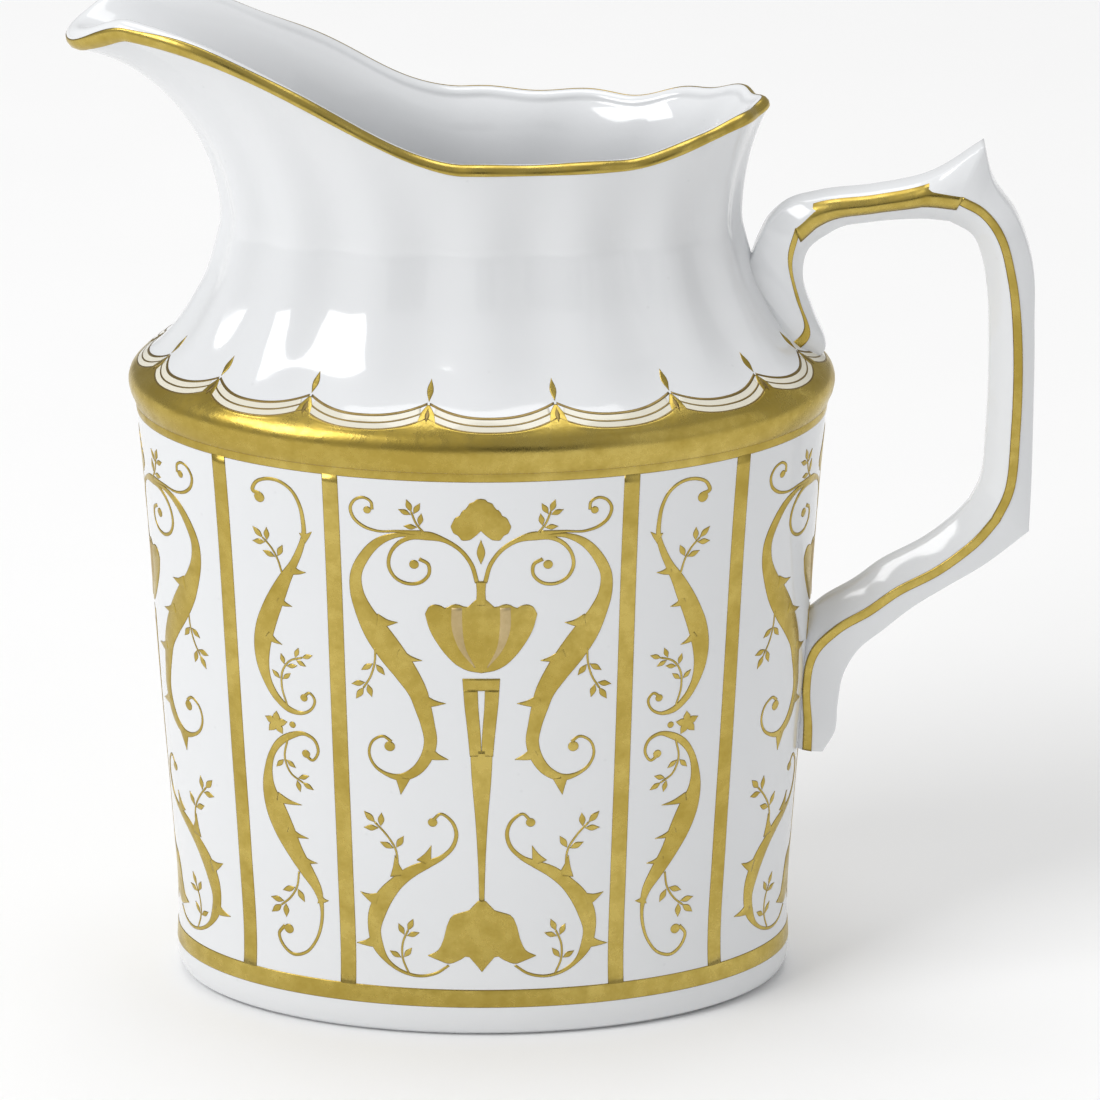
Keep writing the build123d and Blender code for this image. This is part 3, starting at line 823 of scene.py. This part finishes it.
def build_shoulder(gold, dark, cream):
    """The band over the bead with its scalloped top, the swags above it, and a leaf over each point."""
    count = 50 * FLUTES
    angles = np.arange(count) * (2 * np.pi / count)
    share = swag_share(angles)
    swag = swag_height(SWAG_GOLD, np.minimum(share, POINT_SHARE))
    spike = SWAG_GOLD + 1.4 + (SWAG_POINT - SWAG_GOLD - 1.4) * (share - POINT_SHARE) / (1 - POINT_SHARE)
    top = np.where(share > POINT_SHARE, spike, swag)
    low = SHOULDER_BAND[0]
    fixed = [low, low + 0.12, low + 0.9, low + 1.05, low + 1.2]
    fixed += [71.0, 71.6, 72.2, 72.6, 73.0, 73.5, 74.0, 74.5]
    levels = [np.full(count, z) for z in fixed]
    levels += [74.5 + (top - 74.5) * t for t in (0.35, 0.7)] + [top - 0.08, top]
    bead_lift = LIFT + 0.05
    lifts = [MARGIN_LIFT, LIFT, LIFT, 0.0] + [bead_lift] * 9 + [LIFT] * 3 + [MARGIN_LIFT]
    # Rows marked 1 are coloured darker as painted shade: the lower edge, the fine groove and the top edge.
    margins = [1, 0, 0, 1, 0] + [0] * 11 + [1]
    skin = Skin()
    ring_band(skin, angles, levels, lifts, margins)
    skin.build("shoulder_band", gold, "gold", "shoulder_gilding")

    wash, lines, leaves = Skin(), Skin(), Skin()
    for swag_number in range(FLUTES):
        centre = swag_number * SWAG_STEP + SWAG_TURN
        place = panel_place(centre, length=SWAG_LENGTH)
        back = arc_at(centre) - arc_at(centre - SWAG_STEP / 2)
        ahead = arc_at(centre + SWAG_STEP / 2) - arc_at(centre)
        right = np.linspace(-1, 1, 21)
        across = np.where(right < 0, right * back, right * ahead) * SWAG_LENGTH
        for middle, width in [(SWAG_GOLD + 0.03, 0.14), (SWAG_LINE, 0.13), (SWAG_TOP, 0.2)]:
            line = [(a, swag_height(middle, abs(t) * 0.98), width) for a, t in zip(across * 0.98, right)]
            stroke(lines, place, line, per_gap=2, lift=0.05)
        line = [(a, swag_height((SWAG_GOLD + SWAG_TOP) / 2, abs(t) * 0.9), SWAG_TOP - SWAG_GOLD)
                for a, t in zip(across * 0.9, right)]
        stroke(wash, place, line, per_gap=2, lift=0.02)
        point = panel_place(centre + SWAG_STEP / 2)
        leaf(leaves, point, (0, SWAG_POINT + 0.15), (0, SWAG_POINT + 2.1), 0.75)
        stroke(lines, point, [(0, 75.7, 0.05), (0, 76.25, 0.62), (0, 76.8, 0.05)], per_gap=3, lift=LIFT * 2)
    wash.build("swag_wash", cream, "porcelain")
    lines.build("swag_lines", dark, "gold")
    leaves.build("shoulder_leaves", gold, "gold")


def build_rim_gold(gold):
    """The brushed gold line on the outer edge of the rim, broader on the flutes than between them."""
    count = 60 * FLUTES
    angles = np.arange(count) * (2 * np.pi / count)
    drop = 0.017 + 0.010 * np.cos(FLUTES * angles) + 0.005 * np.sin(5 * angles + 1.0)
    drop = np.maximum(drop, 0.006)
    rows, base = [], []
    for part, lift in [(1.0, MARGIN_LIFT), (0.85, LIFT), (0.45, LIFT)]:
        rows.append(flare_point(angles, 1 - drop * part, 0, lift))
        base.append(flare_point(angles, 1 - drop * part, 0, SET_IN))
    top = 84 + 4 * np.cos(FLUTES * angles + 0.6)
    for share, lift in [(0.0, LIFT), (0.33, LIFT), (0.66, LIFT), (0.9, LIFT), (1.0, MARGIN_LIFT)]:
        turn = np.radians(top * share)
        rows.append(rim_point(angles, turn, lift))
        base.append(rim_point(angles, turn, SET_IN))
    skin = Skin()
    # The upper and lower edges of the rim line are coloured darker, as painted shade.
    skin.add(np.stack(rows + base[::-1], axis=1), [1] + [0] * 6 + [1] * 9, closed=True)
    skin.build("rim_gold", gold, "gold", "rim_gilding")


def build_handle(material):
    """The cast handle: a chamfered limb with a flat ridge, a pointed thumb rest and a kick below."""
    sections = limb_sections([HANDLE_RISE[:-1] + HANDLE_TOP, HANDLE_GRIP, HANDLE_SWEEP])
    corners = [(0, -INNER_EDGE), (RIDGE_FROM, -1), (RIDGE_TO, -1), (1, -OUTER_EDGE)]
    corners += [(across, -side) for across, side in reversed(corners)]
    points = [limb_point(sections, across, sections[:, 4] * side) for across, side in corners]
    skin = Skin()
    loops = section_loop(np.stack(points, axis=1))
    skin.add(tucked_in(loops), np.zeros(loops.shape[1]))
    skin.build("porcelain_handle", material, "porcelain", "handle")


def face_gilding(skin, sections, side, places, lift=LIFT):
    """Gold on one face of the handle, between two places across it that follow its chamfers."""
    columns, margins = [], []
    first, last = places[0], places[-1]
    for across, share, height in [(first[0], first[1], SET_IN), *[(a, s, lift) for a, s in places],
                                  (last[0], last[1], SET_IN)]:
        columns.append(limb_point(sections, across, side * (sections[:, 4] * share + height)))
        # The two outer columns are coloured darker, as painted shade.
        margins.append(1 if across in (first[0], last[0]) else 0)
    skin.add(tucked_in(np.stack(columns, axis=1)), margins)


def build_handle_gold(gold):
    """The gold line down each face of the handle, and the gilded faces of the thumb rest."""
    ridge = [(RIDGE_FROM - 0.02, 0.985), (RIDGE_FROM + 0.02, 1), ((RIDGE_FROM + RIDGE_TO) / 2, 1),
             (RIDGE_TO - 0.02, 1), (RIDGE_TO + 0.02, 0.985)]
    broad = [(0.38, 0.79), (0.47, 0.895), (RIDGE_FROM, 1), ((RIDGE_FROM + RIDGE_TO) / 2, 1),
             (RIDGE_TO, 0.99), (0.85, 0.8), (0.93, 0.66)]
    rest = Skin()
    for side, name in [(-1, "front"), (1, "back")]:
        skin = Skin()
        face_gilding(skin, limb_sections([HANDLE_RISE]), side, ridge)
        down = limb_sections([HANDLE_GRIP, HANDLE_SWEEP])
        face_gilding(skin, down, side, ridge)
        kick = np.array([HANDLE_GRIP[-2], HANDLE_GRIP[-1]])
        branch = smooth_line([(*kick[0] * 0.12 + kick[1] * 0.88,), (*kick[1],)], 4)
        face_gilding(skin, branch, side, [(RIDGE_TO, 1), (0.85, 0.78), (0.97, 0.6)])
        skin.build(f"handle_gold_{name}", gold, "gold", f"handle_line_{name}")
        face_gilding(rest, limb_sections([HANDLE_TOP]), side, broad)
    rest.build("thumb_rest_gold", gold, "gold", "thumb_rest_gilding")


# ---------------------------------------------------------------- materials


def new_material(name, colour, metallic, rough):
    """A material with its shader's own values set, and a way to add linked nodes."""
    material = bpy.data.materials.new(name)
    material.use_nodes = True
    tree = material.node_tree
    shader = tree.nodes["Principled BSDF"]
    shader.inputs["Base Color"].default_value = (*colour, 1)
    shader.inputs["Metallic"].default_value = metallic
    shader.inputs["Roughness"].default_value = rough

    def add(kind, inputs=None, **settings):
        node = tree.nodes.new(kind)
        for key, value in settings.items():
            setattr(node, key, value)
        for key, value in (inputs or {}).items():
            if isinstance(value, bpy.types.NodeSocket):
                tree.links.new(value, node.inputs[key])
            else:
                node.inputs[key].default_value = value
        return node

    def link(socket, name):
        tree.links.new(socket, shader.inputs[name])

    return material, shader, add, link


def glaze_material(name, pale, shaded):
    """Glossy glaze over white porcelain: faint tint changes, tiny pits, and a slight ripple."""
    material, shader, add, link = new_material(name, pale, 0.0, 0.1)
    shader.inputs["Coat Weight"].default_value = 0.35
    shader.inputs["Coat Roughness"].default_value = 0.03
    place = add("ShaderNodeTexCoord").outputs["Object"]
    cloud = add("ShaderNodeTexNoise", {"Vector": place, "Scale": 45.0, "Detail": 3.0})
    tint = add("ShaderNodeMix", {"Factor": cloud.outputs["Fac"], "A": (*pale, 1), "B": (*shaded, 1)},
               data_type="RGBA")
    pits = add("ShaderNodeTexVoronoi", {"Vector": place, "Scale": 260.0})
    pit = add("ShaderNodeMapRange", {"Value": pits.outputs["Distance"], "From Min": 0.0, "From Max": 0.07,
                                     "To Min": 0.93, "To Max": 1.0})
    speck = add("ShaderNodeMix", {"Factor": 1.0, "A": tint.outputs["Result"], "B": pit.outputs["Result"]},
                data_type="RGBA", blend_type="MULTIPLY")
    link(speck.outputs["Result"], "Base Color")
    rough = add("ShaderNodeMapRange", {"Value": cloud.outputs["Fac"], "To Min": 0.06, "To Max": 0.15})
    link(rough.outputs["Result"], "Roughness")
    ripple = add("ShaderNodeTexNoise", {"Vector": place, "Scale": 120.0, "Detail": 1.0})
    bump = add("ShaderNodeBump", {"Height": ripple.outputs["Fac"], "Strength": 0.06, "Distance": 0.0002})
    link(bump.outputs["Normal"], "Normal")
    return material


def gold_material(name, bright, deep, edge, rough_low, rough_high):
    """Fired and burnished gold: mottled tone, edges coloured darker as painted shade, fine scratches and
    worn spots.
    """
    material, _, add, link = new_material(name, bright, 1.0, rough_low)
    place = add("ShaderNodeTexCoord").outputs["Object"]
    mottle = add("ShaderNodeTexNoise", {"Vector": place, "Scale": 420.0, "Detail": 5.0, "Roughness": 0.65})
    drift = add("ShaderNodeTexNoise", {"Vector": place, "Scale": 60.0, "Detail": 2.0})
    both = add("ShaderNodeMath", {0: mottle.outputs["Fac"], 1: drift.outputs["Fac"]}, operation="MULTIPLY")
    share = add("ShaderNodeMapRange", {"Value": both.outputs["Value"], "From Min": 0.14, "From Max": 0.38})
    tone = add("ShaderNodeMix", {"Factor": share.outputs["Result"], "A": (*deep, 1), "B": (*bright, 1)},
               data_type="RGBA")
    # The marked edges of each stroke are mixed towards the darker edge colour: painted shade, the dark
    # reflection off the turned edge of raised gold.
    painted_edge_shade = add("ShaderNodeAttribute", attribute_name="painted_edge_shade")
    dark = add("ShaderNodeMapRange", {"Value": painted_edge_shade.outputs["Fac"], "From Min": 0.25, "To Max": 0.75})
    colours = {"Factor": dark.outputs["Result"], "A": tone.outputs["Result"], "B": (*edge, 1)}
    edge_shaded = add("ShaderNodeMix", colours, data_type="RGBA")
    link(edge_shaded.outputs["Result"], "Base Color")
    rough = add("ShaderNodeMapRange", {"Value": mottle.outputs["Fac"], "From Min": 0.3, "From Max": 0.7,
                                       "To Min": rough_high, "To Max": rough_low})
    link(rough.outputs["Result"], "Roughness")
    bump = add("ShaderNodeBump", {"Height": mottle.outputs["Fac"], "Strength": 0.35, "Distance": 0.00012})
    link(bump.outputs["Normal"], "Normal")
    return material


def floor_material():
    """A matt white studio floor with a barely visible grain."""
    material, _, add, link = new_material("floor_white", (0.95, 0.95, 0.95), 0.0, 0.7)
    place = add("ShaderNodeTexCoord").outputs["Object"]
    grain = add("ShaderNodeTexNoise", {"Vector": place, "Scale": 30.0})
    colours = {"Factor": grain.outputs["Fac"], "A": (0.94, 0.94, 0.94, 1), "B": (0.96, 0.96, 0.96, 1)}
    tint = add("ShaderNodeMix", colours, data_type="RGBA")
    link(tint.outputs["Result"], "Base Color")
    return material


porcelain = glaze_material("porcelain_glaze", (0.80, 0.81, 0.825), (0.77, 0.785, 0.80))
cream = glaze_material("cream_wash", (0.80, 0.77, 0.66), (0.77, 0.73, 0.60))
# The third colour of each gold is the painted shade given to the edges of its strokes.
gold = gold_material("gold_leaf", (0.56, 0.43, 0.115), (0.42, 0.305, 0.06), (0.24, 0.155, 0.03), 0.2, 0.38)
dark_gold = gold_material("gold_line", (0.33, 0.25, 0.10), (0.24, 0.17, 0.06), (0.20, 0.14, 0.06), 0.3, 0.45)
dull_gold = gold_material("gold_brushed", (0.62, 0.49, 0.27), (0.52, 0.40, 0.20), (0.40, 0.30, 0.14),
                          0.45, 0.6)

build_body(porcelain)
build_handle(porcelain)
build_rim_gold(gold)
build_shoulder(gold, dark_gold, cream)
build_foot_band(gold)
build_bars(gold)
build_panels(gold, dull_gold)
build_handle_gold(gold)
for name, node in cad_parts.items():
    node.data.materials.clear()
    node.data.materials.append(porcelain if name in ("body", "handle") else gold)


# ---------------------------------------------------------------- floor, light and camera


# Name, place in metres, size and power of each soft light
LIGHTS = [
    ("key", (-1.1, -0.8, 1.2), 0.9, 16),
    ("fill", (1.2, -0.8, 0.7), 1.2, 1.5),
    ("top", (0.0, 0.3, 1.5), 1.0, 8),
]
WORLD_STRENGTH = 0.45

# A dark card behind the camera, seen only as a reflection in the gold and the glaze
CARD_PLACE = (0.15, -1.75, 0.45)
CARD_SIZE = (0.8, 0.7, 1)


def build_stage():
    """The floor, the soft lights, the dark card and the even surroundings."""
    low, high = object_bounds()
    bpy.ops.mesh.primitive_plane_add(size=6, location=(0, 0, low[2] - 0.0002))
    floor = bpy.context.object
    floor.name = "floor"
    floor.data.materials.append(floor_material())
    for name, place, size, power in LIGHTS:
        data = bpy.data.lights.new(name, "AREA")
        data.size = size
        data.energy = power
        light = bpy.data.objects.new(name, data)
        light.location = place
        light.rotation_mode = "QUATERNION"
        light.rotation_quaternion = (Vector((0, 0, 0.05)) - light.location).to_track_quat("-Z", "Y")
        bpy.context.scene.collection.objects.link(light)
    dark, _, _, _ = new_material("card_dark", (0.03, 0.03, 0.03), 0.0, 0.9)
    bpy.ops.mesh.primitive_plane_add(size=1, location=CARD_PLACE, rotation=(math.pi / 2, 0, 0))
    card = bpy.context.object
    card.name = "dark_card"
    card.scale = CARD_SIZE
    card.visible_camera = False
    card.data.materials.append(dark)
    world = bpy.data.worlds.new("studio")
    world.use_nodes = True
    world.node_tree.nodes["Background"].inputs[0].default_value = (1, 1, 1, 1)
    world.node_tree.nodes["Background"].inputs[1].default_value = WORLD_STRENGTH
    bpy.context.scene.world = world
    bpy.context.scene.view_settings.view_transform = "Standard"


CAMERA_TILT = 21.5
CAMERA_DISTANCE = 1.45
FRAME_WIDTH = 0.1265


def build_camera():
    """The camera, looking down at the front of the jug."""
    data = bpy.data.cameras.new("camera")
    data.sensor_width = 36
    data.lens = 36 * CAMERA_DISTANCE / FRAME_WIDTH
    camera = bpy.data.objects.new("camera", data)
    target = Vector((AXIS_X / MM + 0.0078, 0, 0.0514))
    tilt = math.radians(CAMERA_TILT)
    back = Vector((0, -math.cos(tilt), math.sin(tilt)))
    camera.location = target + back * CAMERA_DISTANCE
    camera.rotation_mode = "QUATERNION"
    camera.rotation_quaternion = (-back).to_track_quat("-Z", "Y")
    data.clip_start, data.clip_end = 0.1, 10
    bpy.context.scene.collection.objects.link(camera)
    bpy.context.scene.camera = camera


build_stage()
build_camera()
